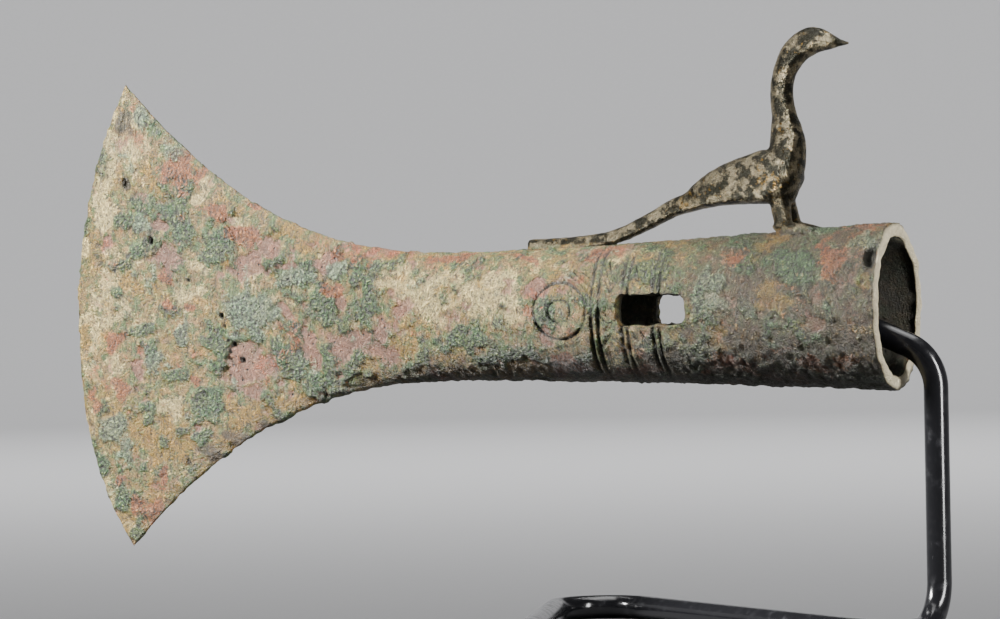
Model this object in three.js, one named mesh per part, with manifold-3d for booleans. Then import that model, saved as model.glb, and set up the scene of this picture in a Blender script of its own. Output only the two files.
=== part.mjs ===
// A bronze age socketed axe head with a bird cast on its socket, held up by a bent steel rod that
// is its display stand. Millimetres. While it is drawn, +X runs along the axe from the cutting
// edge to the socket's mouth, +Z is up, and the socket's middle line is y = 0, z = 0. The whole is
// then moved so that the origin is the bottom centre of its bounding box.

import * as THREE from "three";
import { mergeVertices } from "three/addons/utils/BufferGeometryUtils.js";
import Module from "manifold-3d";

const { lerp, smoothstep, degToRad } = THREE.MathUtils;

// The axe: places along X, and heights of its upper and lower outlines.
const EDGE_X = -120.2; // middle of the cutting edge
const TIP_X = -105.3; // both ends of the cutting edge
const NECK_X = -10; // the narrowest place, where the blade's flare begins
const MOUTH_X = 105.3;
const UPPER_OUTLINE = { tip: 60.4, neck: 14.5, mouth: 19.3, edgeFullness: 2 };
const LOWER_OUTLINE = { tip: -59.8, neck: -17.6, mouth: -21.1, edgeFullness: 2.6 };
const FLARE_POWER = 2.4;
const TAPER_POWER = 1.5;

// Half thickness of the axe, and where the flat blade swells into the oval socket.
const EDGE_HALF = 0.45;
const BLADE_HALF = 2.0;
const BEVEL_LENGTH = 11;
const NECK_HALF = 12.2;
const MOUTH_HALF = 18;
const SWELL_START = 50; // measured back from the cutting edge
const SWELL_END = 140;
const BLADE_SQUARENESS = 4;
const OVAL_SQUARENESS = 2;

// The socket's hollow and the peg hole through its two walls.
const WALL = 3.3;
const HOLLOW_END_X = -15;
const HOLLOW_ROUNDING = 4;
const HOLE_X = 46.2;
const HOLE_Z = -0.8;
const HOLE_LENGTH = 17.4;
const HOLE_HEIGHT = 7.3;
const HOLE_CORNER = 1.2;

// The bird. Each station is [x, z, half height, half width] of an oval across the body's line.
const TAIL_AND_BODY = [
  [8.8, 15.6, 1.7, 2.7],
  [21, 15.9, 1.8, 2.6],
  [31, 17.3, 1.7, 2.5],
  [39, 20.2, 1.8, 2.4],
  [47, 24.0, 2.1, 2.5],
  [52, 25.6, 2.5, 3.3],
  [55, 27.0, 3.4, 4.3],
  [60, 28.9, 4.6, 5.4],
  [66, 30.2, 5.7, 6.2],
  [73, 31.2, 6.6, 6.4],
  [78, 32.0, 5.0, 5.0],
  [80.5, 32.3, 2.6, 2.8],
];
const BREAST_TO_BEAK = [
  [75.6, 25.0, 3.0, 3.0],
  [76.4, 30.0, 4.1, 4.6],
  [77.2, 35.5, 4.5, 4.9],
  [77.2, 40.5, 4.3, 4.1],
  [76.5, 46.0, 3.1, 3.1],
  [76.0, 51.5, 2.8, 2.8],
  [76.9, 56.5, 2.9, 2.9],
  [79.8, 61.3, 3.3, 3.1],
  [84.2, 63.7, 3.4, 3.2],
  [88.6, 63.3, 2.0, 2.1],
  [91.3, 62.9, 0.9, 1.0],
  [93.5, 62.8, 0.4, 0.4],
];
const LEG = { topX: 75.2, topZ: 27, footX: 77.8, footZ: 15.5, spread: 4.0, thick: 2.7, thin: 2.0 };
const FOOT = { length: 12, width: 4.6, height: 3.8, x: 80.2, z: 17.8, droop: degToRad(12) };

// The display stand: one round rod, bent cold, with its foot lying on the ground.
const ROD_RADIUS = 3;
const ROD_SIDES = 10;
const ROD_STEP = 3.6;
const BEND_RADIUS = 11.3;
const GROUND_Z = -81;
const REST_GAP = 0.3; // between the rod and the metal that rests on it
const ROD_TIP_X = -5;
const ROD_DIP = { x: 64.8, slope: 0.431 }; // where the rod turns down towards the mouth
const UPRIGHT_X = 113.9;
const FOOT_CORNERS = [[108, -46], [34, -74], [-17, 80.4]];
const FOOT_END = [101, -17.3];
const FOOT_BENDS = [14, 18, 12.5];

// How finely the axe is faceted.
const AXE_SIDES = 40;
const AXE_STATIONS = 40;
const HOLLOW_SIDES = 28;
const HOLLOW_STATIONS = 12;
const BIRD_SIDES = 12;
const BIRD_STEPS = 24;

const wasm = await Module();
wasm.setup();

// The height of one outline at x: a flare towards the blade's tip, a taper towards the mouth.
function outlineHeight(outline, x) {
  if (x < NECK_X) {
    const share = (NECK_X - x) / (NECK_X - TIP_X);
    return outline.neck + (outline.tip - outline.neck) * share ** FLARE_POWER;
  }
  const share = (x - NECK_X) / (MOUTH_X - NECK_X);
  return outline.neck + (outline.mouth - outline.neck) * share ** TAPER_POWER;
}

function swell(fromEdge) {
  return smoothstep(fromEdge, SWELL_START, SWELL_END);
}

function halfThickness(fromEdge) {
  const blade = lerp(BLADE_HALF, EDGE_HALF, Math.exp(-fromEdge / BEVEL_LENGTH));
  const alongSocket = (EDGE_X + fromEdge - NECK_X) / (MOUTH_X - NECK_X);
  const socket = lerp(NECK_HALF, MOUTH_HALF, alongSocket);
  return lerp(blade, socket, swell(fromEdge));
}

// One ring round the axe. Rings near the blade bow forward, as its cutting edge does.
function axeRing(x, inset, sides) {
  const upper = outlineHeight(UPPER_OUTLINE, x) - inset;
  const lower = outlineHeight(LOWER_OUTLINE, x) + inset;
  const middle = (upper + lower) / 2;
  const half = (upper - lower) / 2;
  const towardsTip = Math.max(0, (NECK_X - x) / (NECK_X - TIP_X));
  const bow = (TIP_X - EDGE_X) * towardsTip ** 2;
  const fromEdge = x - bow - EDGE_X;
  const depth = halfThickness(fromEdge) - inset;
  const squareness = lerp(BLADE_SQUARENESS, OVAL_SQUARENESS, swell(fromEdge));
  return Array.from({ length: sides }, (_, i) => {
    const angle = (2 * Math.PI * i) / sides;
    const rise = Math.sin(angle);
    const across = Math.sign(Math.cos(angle)) * Math.sqrt(Math.max(0, 1 - Math.abs(rise) ** squareness));
    const { edgeFullness } = rise > 0 ? UPPER_OUTLINE : LOWER_OUTLINE;
    const bowed = x - bow * (1 - Math.abs(rise) ** edgeFullness);
    return new THREE.Vector3(bowed, depth * across, middle + half * rise);
  });
}

// The cap of a ring: strips across it from its highest point down to its lowest.
function capTriangles(sides) {
  const top = sides / 4;
  const triangles = [];
  for (let k = 0; k < sides / 2; k++) {
    const [a, b] = [top + k, top + k + 1].map((i) => i % sides);
    const [c, d] = [top - k, top - k - 1].map((i) => (i + sides) % sides);
    if (a !== c) {
      triangles.push([a, b, c]);
    }
    if (b !== d) {
      triangles.push([c, b, d]);
    }
  }
  return triangles;
}

// A closed skin over rings that each hold the same number of points, a multiple of four.
function loft(rings) {
  const sides = rings[0].length;
  const points = rings.flat();
  const index = [];
  for (let r = 0; r < rings.length - 1; r++) {
    for (let i = 0; i < sides; i++) {
      const a = r * sides + i;
      const b = r * sides + ((i + 1) % sides);
      index.push(a, b, b + sides, a, b + sides, a + sides);
    }
  }
  const last = points.length - sides;
  for (const [a, b, c] of capTriangles(sides)) {
    index.push(c, b, a, last + a, last + b, last + c);
  }
  const geometry = new THREE.BufferGeometry().setFromPoints(points);
  geometry.setIndex(index);
  return geometry;
}

// A skin along a line in the plane y = 0, with an oval of changing size across it.
function ovalTube(stations, sides, steps, squareness = OVAL_SQUARENESS) {
  const spine = new THREE.CatmullRomCurve3(
    stations.map(([x, z]) => new THREE.Vector3(x, 0, z)), false, "catmullrom");
  const sizes = new THREE.CatmullRomCurve3(
    stations.map(([, , high, wide]) => new THREE.Vector3(high, wide, 0)), false, "catmullrom");
  const side = new THREE.Vector3(0, 1, 0);
  const rings = [];
  for (let s = 0; s <= steps; s++) {
    const centre = spine.getPoint(s / steps);
    const size = sizes.getPoint(s / steps);
    const up = new THREE.Vector3().crossVectors(spine.getTangent(s / steps), side).normalize();
    rings.push(Array.from({ length: sides }, (_, i) => {
      const angle = (2 * Math.PI * i) / sides;
      const [c, h] = [Math.cos(angle), Math.sin(angle)].map(
        (v) => Math.sign(v) * Math.abs(v) ** (2 / squareness));
      return centre.clone().addScaledVector(side, size.y * c).addScaledVector(up, size.x * h);
    }));
  }
  return loft(rings);
}

function toSolid(geometry) {
  const bare = geometry.clone();
  bare.deleteAttribute("normal");
  bare.deleteAttribute("uv");
  const merged = mergeVertices(bare, 1e-4);
  return new wasm.Manifold(new wasm.Mesh({
    numProp: 3,
    vertProperties: new Float32Array(merged.attributes.position.array),
    triVerts: new Uint32Array(merged.index.array),
  }));
}

function toGeometry(solid) {
  const mesh = solid.getMesh();
  const geometry = new THREE.BufferGeometry();
  geometry.setAttribute("position", new THREE.BufferAttribute(mesh.vertProperties, 3));
  geometry.setIndex(new THREE.BufferAttribute(mesh.triVerts, 1));
  geometry.computeVertexNormals();
  return geometry;
}

function axeBody() {
  const rings = [];
  for (let s = 0; s <= AXE_STATIONS; s++) {
    const share = s / AXE_STATIONS;
    rings.push(axeRing(lerp(TIP_X, MOUTH_X, share ** 1.3), 0, AXE_SIDES));
  }
  return toSolid(loft(rings));
}

function socketHollow() {
  const end = axeRing(HOLLOW_END_X, WALL, HOLLOW_SIDES);
  const middle = end.reduce((sum, p) => sum.add(p), new THREE.Vector3()).divideScalar(end.length);
  const innermost = end.map((p) => {
    const shrunk = p.clone().lerp(middle, 0.4);
    shrunk.x -= HOLLOW_ROUNDING;
    return shrunk;
  });
  const rings = [innermost];
  for (let s = 0; s <= HOLLOW_STATIONS; s++) {
    rings.push(axeRing(lerp(HOLLOW_END_X, MOUTH_X, s / HOLLOW_STATIONS), WALL, HOLLOW_SIDES));
  }
  const outside = rings.at(-1).map((p) => p.clone().setX(MOUTH_X + WALL));
  rings.push(outside);
  return toSolid(loft(rings));
}

// A bar with rounded corners that runs across both walls of the socket.
function pegHole() {
  const [w, h, r] = [HOLE_LENGTH / 2, HOLE_HEIGHT / 2, HOLE_CORNER];
  const shape = new THREE.Shape();
  shape.absarc(w - r, h - r, r, 0, Math.PI / 2);
  shape.absarc(r - w, h - r, r, Math.PI / 2, Math.PI);
  shape.absarc(r - w, r - h, r, Math.PI, Math.PI * 1.5);
  shape.absarc(w - r, r - h, r, Math.PI * 1.5, Math.PI * 2);
  const depth = 2 * (MOUTH_HALF + WALL);
  const bar = new THREE.ExtrudeGeometry(shape, { depth, bevelEnabled: false, curveSegments: 3 });
  bar.translate(0, 0, -depth / 2).rotateX(Math.PI / 2).translate(HOLE_X, 0, HOLE_Z);
  return toSolid(bar);
}

// One leg and the foot under it, on the side that the sign gives.
function birdLeg(sign) {
  const leg = new THREE.CylinderGeometry(LEG.thick, LEG.thin, 1, 10, 1);
  const top = new THREE.Vector3(LEG.topX, sign * LEG.spread * 0.3, LEG.topZ);
  const base = new THREE.Vector3(LEG.footX, sign * LEG.spread, LEG.footZ);
  const along = top.clone().sub(base);
  leg.scale(1, along.length(), 1);
  leg.applyQuaternion(new THREE.Quaternion().setFromUnitVectors(
    new THREE.Vector3(0, 1, 0), along.clone().normalize()));
  leg.translate(...top.add(base).divideScalar(2));
  const foot = new THREE.SphereGeometry(0.5, 14, 8);
  foot.scale(FOOT.length, FOOT.width, FOOT.height);
  foot.rotateY(FOOT.droop).translate(FOOT.x, sign * LEG.spread, FOOT.z);
  return toSolid(leg).add(toSolid(foot));
}

function bird() {
  const body = toSolid(ovalTube(TAIL_AND_BODY, BIRD_SIDES, BIRD_STEPS, 3));
  const neck = toSolid(ovalTube(BREAST_TO_BEAK, BIRD_SIDES, BIRD_STEPS));
  return body.add(neck).add(birdLeg(-1)).add(birdLeg(1));
}

// The centre line of a rod bent at corners: straights joined by arcs, measured by arc length.
class BentRod extends THREE.Curve {
  constructor(corners, bends) {
    super();
    this.pieces = [];
    let from = corners[0];
    bends.forEach((radius, i) => {
      const corner = corners[i + 1];
      const into = corner.clone().sub(from).normalize();
      const away = corners[i + 2].clone().sub(corner).normalize();
      const turn = into.angleTo(away);
      const reach = radius * Math.tan(turn / 2);
      const start = corner.clone().addScaledVector(into, -reach);
      const inward = away.clone().addScaledVector(into, -into.dot(away)).normalize();
      this.pieces.push({ start: from, into, inward, radius: Infinity, length: start.distanceTo(from) });
      this.pieces.push({ start, into, inward, radius, length: radius * turn });
      from = corner.clone().addScaledVector(away, reach);
    });
    const last = corners.at(-1);
    const into = last.clone().sub(from).normalize();
    this.pieces.push({ start: from, into, inward: into, radius: Infinity, length: last.distanceTo(from) });
    this.total = this.pieces.reduce((sum, piece) => sum + piece.length, 0);
  }

  locate(t) {
    let rest = t * this.total;
    for (const piece of this.pieces) {
      if (rest <= piece.length || piece === this.pieces.at(-1)) {
        return { piece, rest };
      }
      rest -= piece.length;
    }
  }

  getPoint(t) {
    const { piece, rest } = this.locate(t);
    if (piece.radius === Infinity) {
      return piece.start.clone().addScaledVector(piece.into, rest);
    }
    const angle = rest / piece.radius;
    return piece.start.clone()
      .addScaledVector(piece.into, piece.radius * Math.sin(angle))
      .addScaledVector(piece.inward, piece.radius * (1 - Math.cos(angle)));
  }

  getTangent(t) {
    const { piece, rest } = this.locate(t);
    const angle = rest / piece.radius;
    return piece.into.clone().multiplyScalar(Math.cos(angle)).addScaledVector(piece.inward, Math.sin(angle));
  }

  getUtoTmapping(u) {
    return u;
  }
}

function standRod() {
  const restZ = outlineHeight(UPPER_OUTLINE, ROD_TIP_X) - WALL - REST_GAP - ROD_RADIUS;
  const footZ = GROUND_Z + ROD_RADIUS;
  const dropZ = restZ - ROD_DIP.slope * (UPRIGHT_X - ROD_DIP.x);
  const corners = [
    new THREE.Vector3(ROD_TIP_X, 0, restZ),
    new THREE.Vector3(ROD_DIP.x, 0, restZ),
    new THREE.Vector3(UPRIGHT_X, 0, dropZ),
    new THREE.Vector3(UPRIGHT_X, 0, footZ),
    ...[...FOOT_CORNERS, FOOT_END].map(([x, y]) => new THREE.Vector3(x, y, footZ)),
  ];
  const path = new BentRod(corners, [2 * BEND_RADIUS, BEND_RADIUS, BEND_RADIUS, ...FOOT_BENDS]);
  // The round section is a polygon about the circle, turned so that a flat side of the foot's
  // straights faces the ground.
  const [firstX, firstY] = FOOT_CORNERS[0];
  const turn = Math.atan2(UPRIGHT_X - firstX, -firstY);
  const corner = ROD_RADIUS / Math.cos(Math.PI / ROD_SIDES);
  const section = new THREE.Shape(Array.from({ length: ROD_SIDES }, (_, i) => {
    const angle = (2 * Math.PI * i) / ROD_SIDES + turn;
    return new THREE.Vector2(corner * Math.cos(angle), corner * Math.sin(angle));
  }));
  return new THREE.ExtrudeGeometry(section, { steps: Math.round(path.total / ROD_STEP), extrudePath: path });
}

const bronze = new THREE.MeshStandardMaterial({ color: 0x6f6a4e, roughness: 0.62, metalness: 0.55 });
const lacquer = new THREE.MeshStandardMaterial({ color: 0x0b0b0d, roughness: 0.2, metalness: 0.1 });

const casting = axeBody().add(bird()).subtract(socketHollow()).subtract(pegHole());
const axe = new THREE.Mesh(toGeometry(casting), bronze);
axe.name = "axe_head";

const stand = new THREE.Mesh(standRod(), lacquer);
stand.name = "display_stand";

const part = new THREE.Group();
part.add(axe, stand);
const box = new THREE.Box3().setFromObject(part);
const middle = box.getCenter(new THREE.Vector3());
part.position.set(-middle.x, -middle.y, -box.min.z);

export default part;
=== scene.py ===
"""A bronze age socketed axe head with a bird cast on it, held up by a bent black rod."""

import math

import bmesh
import bpy
import numpy as np
from bpy.props import FloatProperty, FloatVectorProperty, PointerProperty
from mathutils import Matrix, Vector, noise


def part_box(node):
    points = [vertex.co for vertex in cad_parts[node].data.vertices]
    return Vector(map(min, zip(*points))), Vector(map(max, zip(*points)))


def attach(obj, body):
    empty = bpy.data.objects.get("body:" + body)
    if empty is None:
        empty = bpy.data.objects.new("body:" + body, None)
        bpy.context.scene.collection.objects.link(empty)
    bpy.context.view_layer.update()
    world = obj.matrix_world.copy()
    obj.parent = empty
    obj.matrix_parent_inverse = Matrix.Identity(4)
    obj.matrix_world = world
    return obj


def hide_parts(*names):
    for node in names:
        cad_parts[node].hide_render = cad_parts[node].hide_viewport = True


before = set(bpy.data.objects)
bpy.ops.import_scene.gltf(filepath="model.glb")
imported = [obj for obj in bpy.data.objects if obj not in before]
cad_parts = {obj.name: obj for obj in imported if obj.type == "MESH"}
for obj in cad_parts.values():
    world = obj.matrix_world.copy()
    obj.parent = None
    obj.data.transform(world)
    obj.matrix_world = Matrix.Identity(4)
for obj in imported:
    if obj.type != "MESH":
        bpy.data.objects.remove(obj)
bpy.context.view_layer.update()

bl_info = {
    "name": "Bronze age axe head",
    "version": (1, 0, 0),
    "blender": (4, 5, 0),
    "location": "3D View > Sidebar > Axe head",
    "description": "A corroded socketed axe with a bird on it, its bent rod stand and a pale stage",
    "category": "Add Mesh",
}

# The axe is drawn in millimetres: +X from the cutting edge to the socket's mouth, +Z up, and the
# socket's middle line at y = 0, z = 0. The side at -Y faces the camera.
MM = 0.001
EDGE_X = -120.2
TIP_X = -105.3
NECK_X = -10.0
MOUTH_X = 105.3
UPPER = {"tip": 60.4, "neck": 14.5, "mouth": 19.3, "fullness": 2.0}
LOWER = {"tip": -59.8, "neck": -17.6, "mouth": -21.1, "fullness": 2.6}
FLARE_POWER = 2.4
TAPER_POWER = 1.5
EDGE_HALF = 0.45
BLADE_HALF = 2.0
BEVEL_LENGTH = 11.0
NECK_HALF = 12.2
MOUTH_HALF = 18.0
SWELL = (50.0, 140.0)
WALL = 3.3
HOLLOW_END_X = -15.0
HOLLOW_END_DEPTH = 4
BLADE_END_X = -70
ORNAMENT_END_X = 60
# The rounded nose of the cutting edge: ring places behind the tip, and how blunt it is.
NOSE = {"stations": (0.03, 0.12, 0.26, 0.44), "length": 0.6, "slope": 1.31, "end": 0.5}
LIP_RADIUS = 1.2
RING_POINTS = {"blade": 300, "socket": 150, "hollow": 75}
RING_GAPS = {"blade": 0.52, "neck": 0.6, "ornament": 0.45, "socket": 0.52, "hollow": 1.9}
NEAR_SHARE = (3, 5)
HOLE = {"x": 46.2, "z": -0.8, "length": 17.4, "height": 7.3, "corner": 1.6}

HOLE_REACH = 20
HOLE_WOBBLE = 0.45

AXE_LOW, AXE_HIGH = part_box("axe_head")
ORIGIN = Vector((
    AXE_LOW.x - EDGE_X * MM,
    (AXE_LOW.y + AXE_HIGH.y) / 2,
    AXE_LOW.z - LOWER["tip"] * MM,
))
TO_ROW = Matrix.Translation(ORIGIN) @ Matrix.Scale(MM, 4)


# ---- Shapes of the axe ----


def lerp(a, b, share):
    return a + (b - a) * share


def turns(count):
    """Even angles round a circle."""
    return np.linspace(0, 2 * math.pi, count, endpoint=False)


def smooth_step(value, start, end):
    share = np.clip((value - start) / (end - start), 0, 1)
    return share * share * (3 - 2 * share)


def outline_height(outline, x):
    """Height of the upper or lower outline at x."""
    flare = np.maximum((NECK_X - x) / (NECK_X - TIP_X), 0) ** FLARE_POWER
    taper = np.maximum((x - NECK_X) / (MOUTH_X - NECK_X), 0) ** TAPER_POWER
    neck = outline["neck"]
    return neck + (outline["tip"] - neck) * flare + (outline["mouth"] - neck) * taper


def half_thickness(from_edge):
    blade = lerp(BLADE_HALF, EDGE_HALF, np.exp(-from_edge / BEVEL_LENGTH))
    along = (EDGE_X + from_edge - NECK_X) / (MOUTH_X - NECK_X)
    return lerp(blade, lerp(NECK_HALF, MOUTH_HALF, along), smooth_step(from_edge, *SWELL))


def bow_at(x):
    """How far the middle of a ring at x sits ahead of its two ends."""
    return (TIP_X - EDGE_X) * np.maximum((NECK_X - x) / (NECK_X - TIP_X), 0) ** 2


def axe_ring(x, inset, count, thinness=1.0):
    """Points of one ring round the axe. Most of them lie on the side nearer the camera."""
    near = count * NEAR_SHARE[0] // NEAR_SHARE[1]
    turn = np.concatenate([
        np.linspace(math.pi / 2, math.pi * 1.5, near, endpoint=False),
        np.linspace(math.pi * 1.5, math.pi * 2.5, count - near, endpoint=False),
    ])
    upper = outline_height(UPPER, x) - inset
    lower = outline_height(LOWER, x) + inset
    bow = bow_at(x)
    from_edge = x - bow - EDGE_X
    swollen = smooth_step(from_edge, *SWELL)
    straight = 1 - np.abs((turn / math.pi - 0.5) % 2 - 1) * 2
    rise = lerp(lerp(np.sin(turn), -straight, 0.7), np.sin(turn), swollen)
    squareness = lerp(4.0, 2.0, swollen)
    depth = (half_thickness(from_edge) - inset) * thinness
    across = np.sign(np.cos(turn)) * np.sqrt(np.maximum(0, 1 - np.abs(rise) ** squareness))
    fullness = np.where(rise > 0, UPPER["fullness"], LOWER["fullness"])
    bowed = x - bow * (1 - np.abs(rise) ** fullness)
    height = (upper + lower) / 2 + (upper - lower) / 2 * rise
    return np.column_stack([bowed, depth * across, height])


def ring_faces(first, second, start_first, start_second):
    """Faces between two rings, where the second may hold half as many points as the first."""
    faces = []
    if first == second:
        for i in range(first):
            j = (i + 1) % first
            faces.append((start_first + i, start_first + j, start_second + j, start_second + i))
        return faces
    for i in range(second):
        a, b, c = 2 * i, 2 * i + 1, (2 * i + 2) % first
        p, q = i, (i + 1) % second
        faces.append((start_first + a, start_first + b, start_second + p))
        faces.append((start_first + b, start_second + q, start_second + p))
        faces.append((start_first + b, start_first + c, start_second + q))
    return faces


def skin_mesh(name, rings, ends=(True, True)):
    """A mesh over rings, with a fan over each end that is closed."""
    points, faces, start = [], [], 0
    for i, ring in enumerate(rings):
        points.append(ring)
        if i + 1 < len(rings):
            following = start + len(ring)
            if len(rings[i + 1]) <= len(ring):
                faces += ring_faces(len(ring), len(rings[i + 1]), start, following)
            else:
                grown = ring_faces(len(rings[i + 1]), len(ring), following, start)
                faces += [face[::-1] for face in grown]
        start += len(ring)
    points.append([rings[0].mean(axis=0), rings[-1].mean(axis=0)])
    first, last = len(rings[0]), len(rings[-1])
    if ends[0]:
        faces += [(start, (i + 1) % first, i) for i in range(first)]
    if ends[1]:
        edge = start - last
        faces += [(start + 1, edge + i, edge + (i + 1) % last) for i in range(last)]
    mesh = bpy.data.meshes.new(name)
    mesh.from_pydata(np.concatenate(points).tolist(), [], faces)
    shape = bmesh.new()
    shape.from_mesh(mesh)
    bmesh.ops.recalc_face_normals(shape, faces=shape.faces)
    shape.to_mesh(mesh)
    shape.free()
    return mesh


def stations(*spans):
    """Places along X. Each span is its start, its end and the spacing between places."""
    return np.concatenate([
        np.linspace(a, b, max(1, round((b - a) / step)), endpoint=False) for a, b, step in spans
    ])


def axe_rings():
    """Rings over the whole skin: cutting edge, blade, socket, rounded rim, then the hollow."""
    points, gaps = RING_POINTS, RING_GAPS
    lip_x = MOUTH_X - LIP_RADIUS
    rings = []
    for ahead in NOSE["stations"]:
        thinness = math.sqrt(1 - (1 - ahead / NOSE["length"]) ** 2)
        rings.append(axe_ring(TIP_X + ahead / NOSE["slope"], 0, points["blade"], thinness))
    for x in stations((TIP_X + NOSE["end"], BLADE_END_X, gaps["blade"])):
        rings.append(axe_ring(x, 0, points["blade"]))
    for x in stations(
        (BLADE_END_X, NECK_X, gaps["neck"]),
        (NECK_X, ORNAMENT_END_X, gaps["ornament"]),
        (ORNAMENT_END_X, lip_x, gaps["socket"]),
    ):
        rings.append(axe_ring(x, 0, points["socket"]))
    for turn in np.radians(np.linspace(0, 180, 11)):
        inset = WALL / 2 - WALL / 2 * math.cos(turn)
        rings.append(axe_ring(lip_x + LIP_RADIUS * math.sin(turn), inset, points["socket"]))
    for x in stations((HOLLOW_END_X, MOUTH_X - 2, gaps["hollow"]))[::-1]:
        rings.append(axe_ring(x, WALL, points["hollow"]))
    end = rings[-1]
    for share in (0.3, 0.6, 0.85):
        shrunk = lerp(end, end.mean(axis=0), share)
        shrunk[:, 0] -= HOLLOW_END_DEPTH * math.sqrt(share)
        rings.append(shrunk)
    return rings


def outer_depth(x):
    """Half thickness of the socket's outer skin on its middle line at x."""
    return half_thickness(x - bow_at(x) - EDGE_X)


def hole_rings():
    """Rings of the bar that cuts the peg hole. It flares where it leaves each wall."""
    corner = HOLE["corner"]
    straight_x = HOLE["length"] / 2 - corner
    straight_z = HOLE["height"] / 2 - corner
    outline = []
    for quarter, (sx, sz) in enumerate(((1, 1), (-1, 1), (-1, -1), (1, -1))):
        start = quarter * math.pi / 2
        for turn in np.linspace(start, start + math.pi / 2, 7):
            outline.append((sx * straight_x, sz * straight_z, math.cos(turn), math.sin(turn)))
    outline = np.array(outline)
    dense = []
    for i, row in enumerate(outline):
        following = outline[(i + 1) % len(outline)]
        gap = math.hypot(*(following - row)[:2])
        parts = max(1, round(gap / 0.6))
        dense += [lerp(row, following, k / parts) for k in range(parts)]
    dense = np.array(dense)
    rings = []
    for y in np.linspace(-HOLE_REACH, HOLE_REACH, 81):
        x = HOLE["x"] + dense[:, 0] + dense[:, 2] * corner
        beyond = np.abs(y) - outer_depth(x)
        side = 1 if y < 0 else 0.6
        spread = 0.35 + 0.75 * np.maximum(dense[:, 2], 0)
        flare = side * spread * np.exp(np.minimum(beyond, 0.8) / 0.9)
        wobble = HOLE_WOBBLE * np.array([
            noise.noise(Vector((a * 0.35, y * 0.3, b * 0.35 + 9)))
            for a, b in dense[:, :2] + dense[:, 2:]
        ])
        grown = corner + flare + wobble
        z = HOLE["z"] + dense[:, 1] + dense[:, 3] * grown
        x = HOLE["x"] + dense[:, 0] + dense[:, 2] * grown
        rings.append(np.column_stack([x, np.full(len(x), y), z]))
    return rings


# ---- The bird ----

# Stations along the bird: x, z, half height and half width of the oval across its line.
TAIL_AND_BODY = [
    (8.8, 15.6, 1.7, 2.7), (21, 15.9, 1.8, 2.6), (31, 17.3, 1.7, 2.5), (39, 20.2, 1.8, 2.4),
    (47, 24.0, 2.1, 2.5), (52, 25.6, 2.5, 3.3), (55, 27.0, 3.4, 4.3), (60, 28.9, 4.6, 5.4),
    (66, 30.2, 5.7, 6.2), (73, 31.2, 6.6, 6.4), (78, 32.0, 5.0, 5.0), (80.5, 32.3, 2.6, 2.8),
]
BREAST_TO_BEAK = [
    (75.6, 25.0, 3.0, 3.0), (76.4, 30.0, 4.1, 4.6), (77.2, 35.5, 4.5, 4.9), (77.2, 40.5, 4.3, 4.1),
    (76.5, 46.0, 3.1, 3.1), (76.0, 51.5, 2.8, 2.8), (76.9, 56.5, 2.9, 2.9), (79.8, 61.3, 3.3, 3.1),
    (84.2, 63.7, 3.4, 3.2), (88.6, 63.3, 2.0, 2.1), (91.3, 62.9, 0.9, 1.0), (93.5, 62.8, 0.4, 0.4),
]
LEG = {
    "top_x": 75.2, "top_z": 27.0, "foot_x": 77.8, "foot_z": 15.5,
    "spread": 4.0, "gather": 0.3, "thick": 2.7, "thin": 2.0,
}
FOOT = {
    "length": 12.0, "width": 4.6, "height": 3.8, "x": 80.2, "z": 17.8,
    "droop": math.radians(12),
}
BIRD_GRAIN = 0.46
BIRD_SOFTENING = 3


def catmull_rom(stations_list, steps):
    """Points on the curve through the stations, and the curve's direction at each."""
    knots = np.array(stations_list, dtype=float)
    ends = np.vstack([2 * knots[0] - knots[1], knots, 2 * knots[-1] - knots[-2]])
    points, slopes = [], []
    for s in np.linspace(0, len(knots) - 1, steps):
        i = min(int(s), len(knots) - 2)
        t = s - i
        a, b, c, d = ends[i:i + 4]
        points.append(0.5 * (2 * b + (c - a) * t + (2 * a - 5 * b + 4 * c - d) * t ** 2
                             + (3 * b - 3 * c + d - a) * t ** 3))
        slopes.append(0.5 * ((c - a) + 2 * (2 * a - 5 * b + 4 * c - d) * t
                             + 3 * (3 * b - 3 * c + d - a) * t ** 2))
    return np.array(points), np.array(slopes)


def oval_tube(stations_list, sides, steps, squareness=2.0):
    points, slopes = catmull_rom(stations_list, steps)
    turn = turns(sides)
    c, h = (np.sign(v) * np.abs(v) ** (2 / squareness) for v in (np.cos(turn), np.sin(turn)))
    rings = []
    for (x, z, high, wide), (dx, dz) in zip(points, slopes[:, :2]):
        length = math.hypot(dx, dz)
        up = np.array([-dz, 0, dx]) / length
        rings.append(np.array([x, 0, z]) + wide * c[:, None] * np.array([0, 1, 0])
                     + high * h[:, None] * up)
    return skin_mesh("tube", rings)


def round_ring(centre, across, other, radius, sides):
    return np.array([
        centre + radius * (math.cos(t) * across + math.sin(t) * other) for t in turns(sides).tolist()
    ])


def round_bar(start, end, start_radius, end_radius, sides=20, steps=12):
    """A tapering round bar, closed with a flat fan at each end."""
    start, end = Vector(start), Vector(end)
    along = (end - start).normalized()
    side = along.orthogonal().normalized()
    other = along.cross(side)
    rings = []
    for share in np.linspace(0, 1, steps).tolist():
        radius = lerp(start_radius, end_radius, share)
        rings.append(round_ring(start.lerp(end, share), side, other, radius, sides))
    return skin_mesh("bar", rings)


def pebble(centre, size, droop, steps=18, sides=24):
    """An ellipsoid that dips towards +X by the droop angle."""
    rings = []
    turn = turns(sides)
    for polar in np.linspace(0.08, math.pi - 0.08, steps):
        x = -math.cos(polar) * size[0] / 2 + np.zeros(sides)
        y = math.sin(polar) * np.cos(turn) * size[1] / 2
        z = math.sin(polar) * np.sin(turn) * size[2] / 2
        rings.append(np.column_stack([
            centre[0] + x * math.cos(droop) + z * math.sin(droop),
            centre[1] + y,
            centre[2] - x * math.sin(droop) + z * math.cos(droop),
        ]))
    return skin_mesh("pebble", rings)


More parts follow.
